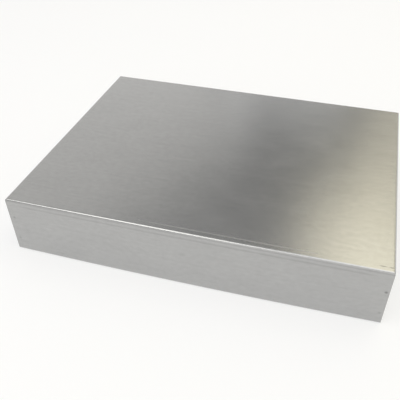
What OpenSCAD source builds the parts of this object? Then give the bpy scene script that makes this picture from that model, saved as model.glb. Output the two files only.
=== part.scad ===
// Electronics chassis folded from one sheet of aluminium: a five-sided box, open underneath.
// The four walls fold down from the top panel and turn inward again as a flange round the open base.
// Tabs on the end walls fold round the corners, lie behind the long walls and are spot-welded to them.
// Origin at the centre of the base, +X along the long front wall, +Y to the rear, +Z up. Millimetres.

/* [Chassis] */
// Outside length of the front and rear walls
chassis_w = 431.8; // [200:0.1:520]
// Outside depth, from the front wall to the rear wall
chassis_d = 330.2; // [150:0.1:420]
// Outside height
chassis_h = 76.2; // [60:0.1:130]

/* [Sheet] */
// Thickness of the sheet
sheet_t = 1.6; // [1:0.1:2.5]
// Inside radius of every fold
fold_r = 1; // [0.5:0.1:2.5]

/* [Base flange] */
// Width of the inward flange, from the outer face of its wall
flange_w = 12.7; // [9:0.1:25]
// Gap between two flanges at their mitred corner
mitre_gap = 1.2; // [0.4:0.1:3]

/* [Corners] */
// Gap between the two folds that meet at a corner of the top panel
corner_gap = 0.4; // [0.2:0.1:1.5]
// How far the cut ends of the long walls stop short of the end walls' outer faces
edge_setback = 0.3; // [0:0.1:1]
// Reach of a corner tab, from the outer face of its end wall
tab_w = 12.7; // [12:0.1:25]
// Gap between a corner tab and the long wall that covers it
lap_gap = 0.1; // [0.05:0.05:0.4]
// Gap between the ends of a corner tab and the folds above and below it
tab_relief = 1.2; // [0.4:0.1:4]

/* [Spot welds] */
// Diameter of an electrode mark
weld_d = 5.5; // [3:0.1:6]
// Depth of an electrode mark
weld_dent = 0.2; // [0.05:0.05:0.3]
// Diameter of the metal that joins wall and tab at a weld
nugget_d = 4.5; // [2:0.1:5]
// Gap between an electrode mark and the fold of the corner tab
weld_clear = 0.4; // [0.1:0.1:1]
// Height of the lowest weld above the bottom end of its tab
weld_rise = 11.9; // [4:0.1:16]
// Distance from one weld of a corner to the next
weld_pitch = 31.9; // [12:0.1:50]
// Least distance from the highest weld to the top end of its tab
weld_end = 4; // [3:0.1:12]

/* [Hidden] */
$fn = 96;
sheet_colour = [0.74, 0.74, 0.73];

// How far a weld's metal and its electrode marks run past the faces that they join or cut
bite = 0.01;
// Outside radius of every fold
fold_out = fold_r + sheet_t;
// Length of a long wall, between its two cut ends
long_len = chassis_w - 2 * edge_setback;
// Distance from a long wall's outer face to the outer face of the tab behind it
tab_setback = sheet_t + lap_gap;
// Length of the flat of an end wall, between its two corner folds
end_len = chassis_d - 2 * (tab_setback + fold_out);
// Length of the fold between an end wall and the top panel
end_fold_len = chassis_d - 2 * (fold_out + corner_gap);
// The tabs stand between the folds of the base flange and of the top panel
tab_bottom = fold_out + tab_relief;
tab_top = chassis_h - fold_out - tab_relief;
// What a mitre takes off each flange, measured along the wall
mitre_trim = mitre_gap / sqrt(2);
// Place of the welds, from the outer face of the end wall and from the base
weld_inset = fold_out + weld_clear + weld_d / 2;
weld_heights = [tab_bottom + weld_rise : weld_pitch : tab_top - weld_end];
// Radius of the ball whose cap is an electrode mark
dent_r = (pow(weld_d / 2, 2) + pow(weld_dent, 2)) / (2 * weld_dent);
// Distance between the outer electrode mark and the one on the inside of the tab
weld_stack = tab_setback + sheet_t;

// Quarter ring about the origin, in the first quadrant: the section of one fold
module fold_section() {
    intersection() {
        difference() {
            circle(fold_out);
            circle(fold_r);
        }
        square(fold_out);
    }
}

// Fold between the top panel and a wall, x inward from the wall's outer face and y upward from the base
module top_fold_section() {
    translate([fold_out, chassis_h - fold_out])
        rotate(90)
            fold_section();
}

// Wall below that fold, with the fold between the wall and its base flange
module wall_section() {
    translate([0, fold_out])
        square([sheet_t, chassis_h - 2 * fold_out]);
    translate([fold_out, fold_out])
        rotate(180)
            fold_section();
}

// Plan of a base flange: x along its wall, y inward from the wall's outer face.
// Its ends are mitred to meet those of the next sides, and it is no longer than its own wall.
module flange_plan(side_len, wall_len) {
    root = side_len / 2 - fold_out - mitre_trim;
    tip = side_len / 2 - flange_w - mitre_trim;
    intersection() {
        polygon([
            [-root, fold_out],
            [root, fold_out],
            [tip, flange_w],
            [-tip, flange_w]
        ]);
        translate([-wall_len / 2, 0])
            square([wall_len, flange_w]);
    }
}

// Runs a section along X for the given length, centred, with the section's y upward
module run_along(length) {
    translate([-length / 2, 0, 0])
        rotate([90, 0, 90])
            linear_extrude(length)
                children();
}

// One side of the chassis, its outer face on the XZ plane and its inside towards +Y
module folded_side(side_len, fold_len, wall_len) {
    run_along(fold_len)
        top_fold_section();
    run_along(wall_len)
        wall_section();
    linear_extrude(sheet_t)
        flange_plan(side_len, wall_len);
}

// Top panel, between the tangent lines of its four folds
module top_panel() {
    flat = [chassis_w - 2 * fold_out, chassis_d - 2 * fold_out];
    translate([0, 0, chassis_h - sheet_t])
        linear_extrude(sheet_t)
            square(flat, center = true);
}

// Plan of a corner fold and its tab. The end wall's outer face is on the Y axis,
// and the tab's outer face is on the X axis.
module tab_plan() {
    translate([fold_out, fold_out])
        rotate(180)
            fold_section();
    translate([fold_out, 0])
        square([tab_w - fold_out, sheet_t]);
}

// Tab at the front left corner
module corner_tab() {
    translate([-chassis_w / 2, -chassis_d / 2 + tab_setback, tab_bottom])
        linear_extrude(tab_top - tab_bottom)
            tab_plan();
}

// Mirrors its children from the front left corner to all four
module at_corners() {
    for (flip_x = [0, 1], flip_y = [0, 1])
        mirror([flip_x, 0, 0])
            mirror([0, flip_y, 0])
                children();
}

// Moves its child to each weld of the front left corner, with Z from the front wall's face inward
module at_welds() {
    for (height = weld_heights)
        translate([-chassis_w / 2 + weld_inset, -chassis_d / 2, height])
            rotate([-90, 0, 0])
                children();
}

// Metal that joins the wall and the tab across the gap of the lap
module weld_nugget() {
    translate([0, 0, sheet_t - bite])
        cylinder(d = nugget_d, h = lap_gap + 2 * bite);
}

// Cap that an electrode presses upward into a face on the XY plane
module electrode_mark() {
    rotate_extrude()
        intersection() {
            translate([0, weld_dent - dent_r])
                circle(dent_r);
            translate([0, -bite])
                square([weld_d, weld_dent + 2 * bite]);
        }
}

// Marks of the two electrodes, on the outside of the wall and on the inside of the tab
module electrode_marks() {
    electrode_mark();
    translate([0, 0, weld_stack])
        mirror([0, 0, 1])
            electrode_mark();
}

// The whole folded sheet, with its corners welded
module chassis() {
    color(sheet_colour)
        difference() {
            union() {
                top_panel();
                for (turn = [0, 180])
                    rotate(turn)
                        translate([0, -chassis_d / 2, 0])
                            folded_side(chassis_w, long_len, long_len);
                for (turn = [90, 270])
                    rotate(turn)
                        translate([0, -chassis_w / 2, 0])
                            folded_side(chassis_d, end_fold_len, end_len);
                at_corners() {
                    corner_tab();
                    at_welds()
                        weld_nugget();
                }
            }
            at_corners()
                at_welds()
                    electrode_marks();
        }
}

chassis();
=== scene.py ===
import math

import bmesh
import bpy
from mathutils import Euler, Matrix, Vector


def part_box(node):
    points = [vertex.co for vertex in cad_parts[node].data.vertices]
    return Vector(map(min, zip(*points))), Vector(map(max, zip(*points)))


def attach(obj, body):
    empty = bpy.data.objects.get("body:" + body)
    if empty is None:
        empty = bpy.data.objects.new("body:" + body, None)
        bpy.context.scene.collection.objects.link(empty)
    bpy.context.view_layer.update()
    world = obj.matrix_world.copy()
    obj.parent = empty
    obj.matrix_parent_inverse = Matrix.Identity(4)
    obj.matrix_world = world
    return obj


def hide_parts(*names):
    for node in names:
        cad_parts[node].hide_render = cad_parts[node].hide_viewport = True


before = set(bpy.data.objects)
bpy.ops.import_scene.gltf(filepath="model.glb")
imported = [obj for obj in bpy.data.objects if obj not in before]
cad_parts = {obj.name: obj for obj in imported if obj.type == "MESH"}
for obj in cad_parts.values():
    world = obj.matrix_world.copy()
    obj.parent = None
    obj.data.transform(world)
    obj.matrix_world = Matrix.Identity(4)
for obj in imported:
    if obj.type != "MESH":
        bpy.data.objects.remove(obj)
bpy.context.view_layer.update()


# Folded sheet
# The whole chassis is one blank of mill-finish aluminium sheet, sheared, notched and folded on a press brake.
# Four walls hang from the top panel and turn inward as a flange round the open base. Tabs on the end walls
# fold round the corners, lie behind the long walls and are spot-welded to them.
MM = 0.001
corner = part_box("chassis")[1]
half_w = corner.x
half_d = corner.y
height = corner.z

sheet_t = 1.6 * MM
fold_out = 2.6 * MM
flange_w = 12.7 * MM
mitre_gap = 1.2 * MM
corner_gap = 0.4 * MM
edge_setback = 0.3 * MM
edge_round = 0.15 * MM
file_lean = math.radians(47)
tab_w = 12.7 * MM
tab_setback = 1.7 * MM
tab_relief = 1.2 * MM

panel_x = half_w - fold_out
panel_y = half_d - fold_out
long_half = half_w - edge_setback
end_half = half_d - tab_setback - fold_out
end_fold_half = panel_y - corner_gap
tab_bottom = fold_out + tab_relief
tab_top = height - fold_out - tab_relief
tab_edge = half_w - tab_w
mitre_trim = mitre_gap / math.sqrt(2)
long_root = panel_x - mitre_trim
long_tip = half_w - flange_w - mitre_trim
end_tip = half_d - flange_w - mitre_trim
end_straight = panel_y - mitre_trim - end_half

# Each weld sits in a pane of its wall and of its tab, between rows of edges that are laid for it
weld_heights = [15.7 * MM, 47.6 * MM]
pane_half = 6.5 * MM
pane_w = 9.4 * MM
pane_x = half_w - pane_w

# The shoulders of the brake's die leave a line on each side of a fold.
# Behind the front fold that line is a groove.
die_inset = 7.4 * MM
die_reach = 0.7 * MM
die_y = half_d - die_inset

FOLD_STEPS = 8
COLUMNS = 12
ROWS = 9
TINY = 0.01 * MM


def near(a, b):
    """True where two lengths are the same."""
    return abs(a - b) < TINY


def open_edges(bm, test):
    """Open edges of the sheet whose two ends both pass the test."""
    return [e for e in bm.edges if e.is_boundary and all(test(v.co) for v in e.verts)]


def row_verts(row):
    """Vertices of a row of edges."""
    return list({v for e in row for v in e.verts})


def pull(bm, row, way):
    """Extrudes a row of edges straight along a vector and returns its new outer row."""
    made = bmesh.ops.extrude_edge_only(bm, edges=row)["geom"]
    verts = {g for g in made if isinstance(g, bmesh.types.BMVert)}
    bmesh.ops.translate(bm, verts=list(verts), vec=way)
    return [g for g in made if isinstance(g, bmesh.types.BMEdge) and verts.issuperset(g.verts)]


def fold(bm, row, centre, axis):
    """Turns a row of edges a quarter round an axis and returns the row at the end of the fold."""
    made = bmesh.ops.spin(bm, geom=row, cent=centre, axis=axis, angle=math.pi / 2, steps=FOLD_STEPS)
    return [g for g in made["geom_last"] if isinstance(g, bmesh.types.BMEdge)]


def hang_wall(bm, row):
    """Pulls a wall down from its top fold to its base fold, with rows of edges at the tabs and the welds."""
    panes = [level + side * pane_half for level in reversed(weld_heights) for side in (1, -1)]
    above = height - fold_out
    for level in [tab_top, *panes, tab_bottom, fold_out]:
        row = pull(bm, row, (0, 0, level - above))
        above = level
    return row


# One quarter of the outer skin, at the rear right: first the top panel as far as its fold lines
skin = bmesh.new()
bmesh.ops.create_grid(skin, x_segments=COLUMNS, y_segments=ROWS, size=0.5)
bmesh.ops.translate(skin, verts=skin.verts, vec=(0.5, 0.5, 0))
bmesh.ops.scale(skin, verts=skin.verts, vec=(pane_x, die_y - die_reach, 1))
bmesh.ops.translate(skin, verts=skin.verts, vec=(0, 0, height))
for inner_x, outer_x in [(pane_x, long_root), (long_root, panel_x)]:
    pull(skin, open_edges(skin, lambda co: near(co.x, inner_x)), (outer_x - inner_x, 0, 0))
rows_y = [die_y + share * die_reach for share in (-1, -0.5, 0, 0.5, 1)]
rows_y += [end_half, end_fold_half, panel_y]
for inner_y, outer_y in zip(rows_y, rows_y[1:]):
    pull(skin, open_edges(skin, lambda co: near(co.y, inner_y)), (0, outer_y - inner_y, 0))

# The end wall, its base fold and its flange, which is straight at first and then mitred
end_row = open_edges(skin, lambda co: near(co.x, panel_x) and co.y < end_fold_half + TINY)
end_row = fold(skin, end_row, (panel_x, 0, height - fold_out), (0, 1, 0))
end_row = [e for e in end_row if all(v.co.y < end_half + TINY for v in e.verts)]
end_row = hang_wall(skin, end_row)
end_row = fold(skin, end_row, (panel_x, 0, fold_out), (0, 1, 0))
end_row = pull(skin, end_row, (-end_straight, 0, 0))
end_row = pull(skin, end_row, (fold_out + end_straight - flange_w, 0, 0))
bmesh.ops.scale(skin, verts=row_verts(end_row), vec=(1, end_tip / end_half, 1))

# The long wall's fold runs on past the panel's corner to the cut end of the wall.
# Its sharp point there is filed off on a slant, as far as the round of the end fold.
long_row = open_edges(skin, lambda co: near(co.y, panel_y) and near(co.z, height))
fold(skin, long_row, (0, panel_y, height - fold_out), (-1, 0, 0))
fold_end = open_edges(skin, lambda co: near(co.x, panel_x) and co.y > panel_y - TINY)
fold_end = pull(skin, fold_end, (long_half - panel_x, 0, 0))
for vert in row_verts(fold_end):
    rise = vert.co.z - (height - fold_out)
    filed_reach = (fold_out - rise * math.cos(file_lean)) / math.sin(file_lean)
    vert.co.x = min(vert.co.x, panel_x + filed_reach)
long_row = open_edges(skin, lambda co: near(co.y, half_d) and near(co.z, height - fold_out))
long_row = hang_wall(skin, long_row)
long_row = fold(skin, long_row, (0, panel_y, fold_out), (-1, 0, 0))
long_row = [e for e in long_row if all(v.co.x < long_root + TINY for v in e.verts)]
long_row = pull(skin, long_row, (0, fold_out - flange_w, 0))
bmesh.ops.scale(skin, verts=row_verts(long_row), vec=(long_tip / long_root, 1, 1))

# The corner tab turns off the upright edge of the end wall
tab_row = open_edges(
    skin,
    lambda co: near(co.x, half_w) and near(co.y, end_half) and tab_bottom - TINY < co.z < tab_top + TINY,
)
tab_row = fold(skin, tab_row, (panel_x, end_half, 0), (0, 0, 1))
tab_row = pull(skin, tab_row, (pane_x - panel_x, 0, 0))
pull(skin, tab_row, (tab_edge - pane_x, 0, 0))

# The other three quarters, and then the thickness of the sheet, inward from the skin
for axis in "XY":
    whole = skin.verts[:] + skin.edges[:] + skin.faces[:]
    bmesh.ops.mirror(skin, geom=whole, matrix=Matrix(), merge_dist=TINY, axis=axis)
bmesh.ops.remove_doubles(skin, verts=skin.verts, dist=TINY)
bmesh.ops.recalc_face_normals(skin, faces=skin.faces)
skin_faces = set(skin.faces)
raw_edges = [e for e in skin.edges if e.is_boundary]
bmesh.ops.solidify(skin, geom=skin.faces[:], thickness=sheet_t)

# The sheared edges are their own material, and their corners are broken a little
cut_faces = {f for e in raw_edges for f in e.link_faces if f not in skin_faces}
for face in cut_faces:
    face.material_index = 1
cut_edges = [e for e in skin.edges if sum(f in cut_faces for f in e.link_faces) == 1]
bmesh.ops.bevel(
    skin,
    geom=cut_edges,
    offset=edge_round,
    offset_type="OFFSET",
    segments=2,
    profile=0.5,
    affect="EDGES",
    clamp_overlap=True,
    material=-1,
)

# Spot welds: each joins a tab to the wall in front of it, and both electrodes leave a round dish
weld_r = 2.75 * MM
weld_dent = 0.25 * MM
nugget_r = 2.25 * MM
weld_inset = 5.75 * MM
weld_x = half_w - weld_inset
RING_STEPS = 24

# Share of the dish's radius and of its depth, ring by ring towards its middle
dish_rings = [(0.75, 0.45), (0.5, 0.75), (0.25, 0.95)]


def pane_faces(bm, side_x, plane_y, level):
    """Flat faces across Y that make up the pane round one weld."""
    def in_pane(co):
        return near(co.y, plane_y) and co.x * side_x > pane_x - TINY and abs(co.z - level) < pane_half + TINY
    return [f for f in bm.faces if all(in_pane(v.co) for v in f.verts)]


def round_hole(bm, faces, centre, radius):
    """Takes a pane out of its wall, fills it again round a circle and returns the circle's edges."""
    way = faces[0].normal.copy()
    pane_edges = {e for f in faces for e in f.edges}
    frame_edges = [e for e in pane_edges if sum(f in faces for f in e.link_faces) == 1]
    bmesh.ops.delete(bm, geom=faces, context="FACES")
    upright = Matrix.Translation(centre) @ Matrix.Rotation(math.pi / 2, 4, "X")
    ring = bmesh.ops.create_circle(bm, segments=RING_STEPS, radius=radius, matrix=upright)["verts"]
    ring_edges = list({e for v in ring for e in v.link_edges})
    bmesh.ops.triangle_fill(bm, use_beauty=True, edges=frame_edges + ring_edges, normal=way)
    return ring_edges


def press_dish(bm, ring, centre, depth):
    """Sinks a ring into the sheet along Y in steps, as a shallow dish, and closes its floor."""
    last_share = 1
    last_sunk = 0
    for share, sunk in dish_rings:
        ring = pull(bm, ring, (0, depth * (sunk - last_sunk), 0))
        shrink = share / last_share
        bmesh.ops.scale(bm, verts=row_verts(ring), vec=(shrink, 1, shrink), space=Matrix.Translation(-centre))
        last_share = share
        last_sunk = sunk
    bmesh.ops.contextual_create(bm, geom=ring)


# The welder placed each mark by hand, so those on the front stray from their nominal places.
# Shade is painted on the upper rim of each mark, where the dish's upper slope faces down and reflects darker,
# most of all at the upper weld on the right.
mark_drift = {
    (-1, -1, 0): Vector((0.5, 0, 1.5)) * MM,
    (-1, -1, 1): Vector((0.5, 0, 1.1)) * MM,
    (1, -1, 0): Vector((1.4, 0, -1.2)) * MM,
    (1, -1, 1): Vector((1.9, 0, -1.1)) * MM,
}
shade_rise = Vector((0, 0, 1.7)) * MM
shade_usual = 0.35
shade_most = 0.7
most_shaded = (1, -1, 1)
weld_shades = []
for side_x in (-1, 1):
    for side_y in (-1, 1):
        for number, level in enumerate(weld_heights):
            centre = Vector((side_x * weld_x, 0, level))
            wall_y = side_y * half_d
            back_y = side_y * (half_d - sheet_t)
            lap_y = side_y * (half_d - tab_setback)
            tab_y = side_y * (half_d - tab_setback - sheet_t)

            weld = (side_x, side_y, number)
            mark = centre + mark_drift.get(weld, Vector())
            mark.y = wall_y
            # Painted shade on the upper rim of the dish, darkest at the most shaded weld
            weld_shades.append((mark + shade_rise, shade_most if weld == most_shaded else shade_usual))
            ring = round_hole(skin, pane_faces(skin, side_x, wall_y, level), mark, weld_r)
            press_dish(skin, ring, mark, -side_y * weld_dent)

            centre.y = tab_y
            ring = round_hole(skin, pane_faces(skin, side_x, tab_y, level), centre, weld_r)
            press_dish(skin, ring, centre, side_y * weld_dent)

            nugget_ends = []
            for plane_y in (back_y, lap_y):
                centre.y = plane_y
                nugget_ends += round_hole(skin, pane_faces(skin, side_x, plane_y, level), centre, nugget_r)
            bmesh.ops.bridge_loops(skin, edges=nugget_ends)
bmesh.ops.recalc_face_normals(skin, faces=skin.faces)

# A flat map of the blank in metres, so that the rolling grain runs over the folds as it does on the sheet
blank_map = skin.loops.layers.uv.new("blank")


def region_of(co):
    """Which part of the blank a face belongs to, by its middle."""
    from_end = half_w - abs(co.x)
    from_long = half_d - abs(co.y)
    if co.z > height - sheet_t - TINY and min(from_end, from_long) > fold_out:
        return "top"
    if sheet_t + TINY < from_long < half_d - end_half and from_end < tab_w and tab_bottom < co.z < tab_top:
        return "tab"
    return "long" if from_long < max(fold_out, from_end) else "end"


def on_blank(co, region, low):
    """Place of a point of the folded sheet on the flat blank; low is true below the middle of a wall."""
    side_x = math.copysign(1, co.x)
    side_y = math.copysign(1, co.y)
    from_end = half_w - abs(co.x)
    from_long = half_d - abs(co.y)
    drop = height - co.z
    if region == "top":
        return co.x, co.y
    if region == "tab":
        return side_x * (half_w + drop), co.y + side_y * from_end
    if region == "long":
        return co.x, side_y * (half_d + drop + (from_long if low else -from_long))
    return side_x * (half_w + drop + (from_end if low else -from_end)), co.y


for face in skin.faces:
    middle = face.calc_center_median()
    region = region_of(middle)
    for loop in face.loops:
        loop[blank_map].uv = on_blank(loop.vert.co, region, middle.z < height / 2)

# The front stands out in a slight bow between its ends, a little more at the base than at the fold
bow_top = 0.7 * MM
bow_base = 2.6 * MM
bow_blend = 60 * MM
die_depth = 0.01 * MM
die_deepest = 0.04 * MM
die_deepest_x = 40 * MM
die_deep_run = 110 * MM
for vert in skin.verts:
    from_die = vert.co.y + die_y
    if near(vert.co.z, height) and abs(from_die) < die_reach + TINY:
        # The die's groove stays straight, and is deepest right of the middle
        share = max(0, 1 - ((vert.co.x - die_deepest_x) / die_deep_run) ** 2)
        deep = die_depth + (die_deepest - die_depth) * share
        vert.co.z -= deep * (1 + math.cos(math.pi * from_die / die_reach)) / 2
    else:
        bow = bow_base + (bow_top - bow_base) * vert.co.z / height
        share = max(0, min(1, (flange_w + bow_blend - half_d - vert.co.y) / bow_blend))
        ease = share * share * (3 - 2 * share)
        vert.co.y -= bow * ease * (1 - (vert.co.x / half_w) ** 2)

for face in skin.faces:
    face.smooth = True
sheet_mesh = bpy.data.meshes.new("folded_sheet")
skin.to_mesh(sheet_mesh)
skin.free()
sheet = bpy.data.objects.new("folded_sheet", sheet_mesh)
bpy.context.scene.collection.objects.link(sheet)
even = sheet.modifiers.new("even_shading", "WEIGHTED_NORMAL")
even.mode = "FACE_AREA"
even.weight = 50
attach(sheet, "root")
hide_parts("chassis")

# Mill finish: bare rolled metal with its grain along the blank, cloudy patches and the marks of the brake
mill_finish = bpy.data.materials.new("mill_finish")
mill_finish.use_nodes = True
nodes = mill_finish.node_tree.nodes
links = mill_finish.node_tree.links
blank = nodes.new("ShaderNodeUVMap")
blank.uv_map = "blank"
blank_place = blank.outputs["UV"]


def math_node(operation, *values):
    """One sum on sockets and plain numbers, in the material that is being made."""
    made = nodes.new("ShaderNodeMath")
    made.operation = operation
    for socket, value in zip(made.inputs, values):
        if isinstance(value, bpy.types.NodeSocket):
            links.new(value, socket)
        else:
            socket.default_value = value
    return made.outputs["Value"]


def placed(where, move, scale):
    """A place that is scaled and moved before a pattern reads it."""
    made = nodes.new("ShaderNodeMapping")
    made.inputs["Location"].default_value = (*move, 0)
    made.inputs["Scale"].default_value = scale
    links.new(where, made.inputs["Vector"])
    return made.outputs["Vector"]


def cloud(where, scale, detail):
    """Soft noise about zero; the scale is in patches per metre each way."""
    made = nodes.new("ShaderNodeTexNoise")
    made.inputs["Scale"].default_value = 1
    made.inputs["Detail"].default_value = detail
    links.new(placed(where, (0, 0), scale), made.inputs["Vector"])
    return math_node("SUBTRACT", made.outputs["Fac"], 0.5)


def fade(value, full, none):
    """1 where a value is at full, 0 where it is at none, and smooth between them."""
    made = nodes.new("ShaderNodeMapRange")
    made.interpolation_type = "SMOOTHSTEP"
    made.inputs["From Min"].default_value = none
    made.inputs["From Max"].default_value = full
    links.new(value, made.inputs["Value"])
    return made.outputs["Result"]


def line_mask(value, middle, half_width):
    """1 on a line across the blank, with soft sides."""
    core = 0.4 * half_width
    return fade(math_node("ABSOLUTE", math_node("SUBTRACT", value, middle)), core, half_width)


def spot_mask(middle, reach):
    """1 in the middle of a soft oval spot on the blank, 0 at its reach."""
    move = (-middle[0] / reach[0], -middle[1] / reach[1])
    scale = (1 / reach[0], 1 / reach[1], 0)
    made = nodes.new("ShaderNodeVectorMath")
    made.operation = "LENGTH"
    links.new(placed(blank_place, move, scale), made.inputs[0])
    return fade(made.outputs["Value"], 0, 1)


def weigh(base, terms):
    """A base value with sockets added to it by their weights."""
    total = base
    for socket, weight in terms:
        total = math_node("MULTIPLY_ADD", socket, weight, total)
    return total


split = nodes.new("ShaderNodeSeparateXYZ")
links.new(blank_place, split.inputs["Vector"])
along = split.outputs["X"]
across = split.outputs["Y"]

# The grain, from the fine lines that the rolls leave to cloudy patches
hairline = cloud(blank_place, (25, 2200, 1), 2)
streak = cloud(blank_place, (7, 330, 1), 2)
mottle = cloud(blank_place, (140, 200, 1), 2)
patch = cloud(blank_place, (20, 28, 1), 2)

# Darker lines along the folds, on all the walls. Just below the end of each fold the line is painted shade,
# for the dark reflection in the lower round of the fold; the other line is a dull mark where the die's
# shoulder pressed.
# The die's line is whole away from the corners, and dies out before it reaches them.
fold_shade_drop = 2.3 * MM
fold_shade_half = 1.3 * MM
fold_shade_dark = 0.15
die_line_half = 1.6 * MM
die_line_dark = 0.125
die_line_whole = 32 * MM
die_line_none = 6 * MM
past_ends = math_node("SUBTRACT", math_node("ABSOLUTE", along), half_w)
past_sides = math_node("SUBTRACT", math_node("ABSOLUTE", across), half_d)
past_fold = math_node("MAXIMUM", past_ends, past_sides)
past_corner = math_node("MINIMUM", past_ends, past_sides)
# Painted shade just below the end of each fold
fold_end_shade = line_mask(past_fold, fold_shade_drop, fold_shade_half)
off_corner = fade(past_corner, -die_line_whole, -die_line_none)
wall_line = math_node("MULTIPLY", line_mask(past_fold, die_inset, die_line_half), off_corner)
marks = [(fold_end_shade, -fold_shade_dark), (wall_line, -die_line_dark)]

# The groove on the top panel is rubbed dull where it is deep
rub_half = 1.0 * MM
from_deepest = math_node("ABSOLUTE", math_node("SUBTRACT", along, die_deepest_x))
deep_run = fade(from_deepest, 0.5 * die_deep_run, die_deep_run)
groove = math_node("MULTIPLY", line_mask(across, -die_y, rub_half), deep_run)

# Spots, each at its place on the blank: smudges on the front wall, scrapes in the groove at the right corner
smudges = [
    ((-4.6 * MM, -half_d - 31.2 * MM), (7 * MM, 3 * MM)),
    ((-157 * MM, -half_d - 68.8 * MM), (8 * MM, 1.5 * MM)),
]
scrapes = [
    ((203.5 * MM, -die_y), (6 * MM, 1.1 * MM)),
    ((211.5 * MM, -die_y), (3.4 * MM, 1.1 * MM)),
]
smudge_dark = 0.12
scrape_dark = 0.7
shade_reach = (2.6 * MM, 2.5 * MM)
marks += [(spot_mask(middle, reach), -smudge_dark) for middle, reach in smudges]
marks += [(spot_mask(middle, reach), -scrape_dark) for middle, reach in scrapes]
# Painted shade on the upper rim of each weld dish on the walls
marks += [(spot_mask(on_blank(place, "long", False), shade_reach), -shade_depth) for place, shade_depth in weld_shades]

dull_metal = (0.222, 0.222, 0.22, 1)
bright_metal = (0.545, 0.545, 0.54, 1)
tone = weigh(0.7, [(hairline, 0.14), (streak, 0.1), (mottle, 0.2), (patch, 0.12), *marks])
colour = nodes.new("ShaderNodeValToRGB")
colour.color_ramp.elements[0].color = dull_metal
colour.color_ramp.elements[1].color = bright_metal
links.new(tone, colour.inputs["Fac"])
gloss = weigh(0.26, [(patch, 0.05), (groove, 0.12)])
relief = weigh(0, [(hairline, 0.6), (streak, 0.5)])
bump = nodes.new("ShaderNodeBump")
bump.inputs["Distance"].default_value = 0.002 * MM
links.new(relief, bump.inputs["Height"])
tangent = nodes.new("ShaderNodeTangent")
tangent.direction_type = "UV_MAP"
tangent.uv_map = "blank"

shader = nodes["Principled BSDF"]
shader.inputs["Metallic"].default_value = 1
shader.inputs["Anisotropic"].default_value = 0.39
shader.inputs["Anisotropic Rotation"].default_value = 0.25
links.new(colour.outputs["Color"], shader.inputs["Base Color"])
links.new(gloss, shader.inputs["Roughness"])
links.new(bump.outputs["Normal"], shader.inputs["Normal"])
links.new(tangent.outputs["Tangent"], shader.inputs["Tangent"])
sheet_mesh.materials.append(mill_finish)

# Sheared edge: duller than the rolled face, with the fine tears of the cut
sheared_edge = bpy.data.materials.new("sheared_edge")
sheared_edge.use_nodes = True
nodes = sheared_edge.node_tree.nodes
links = sheared_edge.node_tree.links
edge_place = nodes.new("ShaderNodeTexCoord").outputs["Object"]
tears = cloud(edge_place, (2600, 2600, 2600), 3)
dulling = cloud(edge_place, (300, 300, 300), 2)
torn_metal = (0.3, 0.3, 0.295, 1)
cut_metal = (0.66, 0.655, 0.64, 1)
colour = nodes.new("ShaderNodeValToRGB")
colour.color_ramp.elements[0].color = torn_metal
colour.color_ramp.elements[1].color = cut_metal
links.new(weigh(0.5, [(tears, 0.5), (dulling, 0.4)]), colour.inputs["Fac"])
bump = nodes.new("ShaderNodeBump")
bump.inputs["Distance"].default_value = 0.03 * MM
links.new(tears, bump.inputs["Height"])
shader = nodes["Principled BSDF"]
shader.inputs["Metallic"].default_value = 1
links.new(colour.outputs["Color"], shader.inputs["Base Color"])
links.new(weigh(0.4, [(tears, 0.2), (dulling, 0.15)]), shader.inputs["Roughness"])
links.new(bump.outputs["Normal"], shader.inputs["Normal"])
sheet_mesh.materials.append(sheared_edge)


# Floor
# A plain pale sheet that the chassis stands on, wide enough to fill the view. Near the chassis most of what
# the camera and the metal see of it is plain white, and the rest is lit and keeps the shadow.
# Further out, where the lamps don't reach, all of it is white.
floor_half = 20
floor_colour = (0.9, 0.9, 0.9, 1)
near_reach = 1.0
far_reach = 2.2
white_near = 0.62
white_far = 1.0
floor_mesh = bpy.data.meshes.new("floor")
floor_bm = bmesh.new()
bmesh.ops.create_grid(floor_bm, x_segments=1, y_segments=1, size=floor_half)
floor_bm.to_mesh(floor_mesh)
floor_bm.free()
floor = bpy.data.objects.new("floor", floor_mesh)
bpy.context.scene.collection.objects.link(floor)
pale = bpy.data.materials.new("pale_floor")
pale.use_nodes = True
nodes = pale.node_tree.nodes
links = pale.node_tree.links
paper = nodes["Principled BSDF"]
paper.inputs["Base Color"].default_value = floor_colour
paper.inputs["Roughness"].default_value = 0.9
white = nodes.new("ShaderNodeEmission")
light_path = nodes.new("ShaderNodeLightPath")
seen = math_node("MAXIMUM", light_path.outputs["Is Camera Ray"], light_path.outputs["Is Glossy Ray"])
seen = math_node("MAXIMUM", seen, light_path.outputs["Is Transmission Ray"])
from_middle = nodes.new("ShaderNodeVectorMath")
from_middle.operation = "LENGTH"
links.new(nodes.new("ShaderNodeTexCoord").outputs["Object"], from_middle.inputs[0])
far = fade(from_middle.outputs["Value"], far_reach, near_reach)
white_share = weigh(white_near, [(far, white_far - white_near)])
mixed = nodes.new("ShaderNodeMixShader")
links.new(math_node("MULTIPLY", seen, white_share), mixed.inputs["Fac"])
links.new(paper.outputs["BSDF"], mixed.inputs[1])
links.new(white.outputs["Emission"], mixed.inputs[2])
links.new(mixed.outputs["Shader"], nodes["Material Output"].inputs["Surface"])
floor_mesh.materials.append(pale)


# Studio light
# A pale horizon below darker walls and ceiling. Soft panels stand round the chassis: four behind it show as
# the light and dark tones in the top panel, and a small one there lights the fold of the right end.
# Two in front and one overhead light the front fold.
world = bpy.data.worlds.new("studio")
bpy.context.scene.world = world
world.use_nodes = True
nodes = world.node_tree.nodes
links = world.node_tree.links
where = nodes.new("ShaderNodeTexCoord")
split = nodes.new("ShaderNodeSeparateXYZ")
ramp = nodes.new("ShaderNodeValToRGB")
links.new(where.outputs["Generated"], split.inputs["Vector"])
links.new(split.outputs["Z"], ramp.inputs["Fac"])
links.new(ramp.outputs["Color"], nodes["Background"].inputs["Color"])

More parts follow.
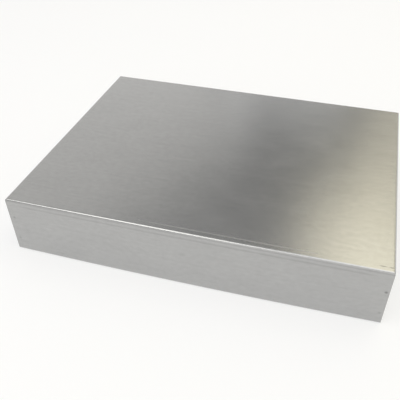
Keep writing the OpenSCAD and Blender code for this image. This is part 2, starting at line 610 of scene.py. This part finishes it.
# Degrees above the horizon, and the brightness there
sky = [(0, 0.98), (10, 1.05), (25, 0.3), (36, 0.05), (45, 0.47), (60, 0.4)]
while len(ramp.color_ramp.elements) < len(sky):
    ramp.color_ramp.elements.new(0.5)
for stop, (elevation, level) in zip(ramp.color_ramp.elements, sky):
    stop.position = math.sin(math.radians(elevation))
    stop.color = (level, level, level, 1)


def soft_panel(name, azimuth, elevation, width, high, radiance, tint):
    """A flat soft lamp that faces the chassis from two metres away; azimuth 0 is straight behind it."""
    distance = 2.0
    lamp = bpy.data.lights.new(name, "AREA")
    lamp.shape = "RECTANGLE"
    lamp.size = width
    lamp.size_y = high
    lamp.energy = radiance * math.pi * width * high
    lamp.color = tint
    holder = bpy.data.objects.new(name, lamp)
    turn = math.radians(azimuth)
    rise = math.radians(elevation)
    out = Vector((math.sin(turn) * math.cos(rise), math.cos(turn) * math.cos(rise), math.sin(rise)))
    holder.location = out * distance
    holder.rotation_euler = (-out).to_track_quat("-Z", "Y").to_euler()
    holder.visible_camera = False
    bpy.context.scene.collection.objects.link(holder)


neutral = (1, 1, 1)
pearl = (1, 0.99, 0.96)
warm = (1, 0.93, 0.69)
soft_panel("warm_panel", 64.6, 59, 3.5, 0.63, 1.58, warm)
soft_panel("low_warm_panel", 39.7, 28.5, 2.1, 0.8, 0.5, warm)
soft_panel("back_panel", -4.4, 21.4, 0.58, 0.57, 0.57, neutral)
soft_panel("left_panel", -61, 33.4, 3.6, 0.99, 0.64, pearl)
soft_panel("right_back_panel", 44, 33, 0.65, 0.5, 0.9, warm)
soft_panel("high_panel", 90, 79.5, 2.1, 0.75, 1.33, neutral)
soft_panel("front_panel", -138, 59, 1.25, 1.5, 2.1, pearl)
soft_panel("low_front_panel", 173, 34, 1.4, 1.0, 1.0, pearl)
bpy.context.scene.view_settings.view_transform = "Standard"


# Camera
# Stands in front and to the right of the chassis, looking down at its top and its long front wall.
eye = Vector((139.2, -556.5, 451.8)) * MM
look_down = math.radians(39.783)
turn_left = math.radians(15.197)
tilt = math.radians(0.356)
camera_data = bpy.data.cameras.new("camera")
camera_data.sensor_width = 36
camera_data.lens = 47.67
camera_data.shift_x = -0.0382
camera_data.shift_y = 0.0286
camera = bpy.data.objects.new("camera", camera_data)
bpy.context.scene.collection.objects.link(camera)
aim = Euler((math.pi / 2 - look_down, 0, turn_left)).to_matrix().to_4x4()
camera.matrix_world = Matrix.Translation(eye) @ aim @ Matrix.Rotation(tilt, 4, "Z")
bpy.context.scene.camera = camera
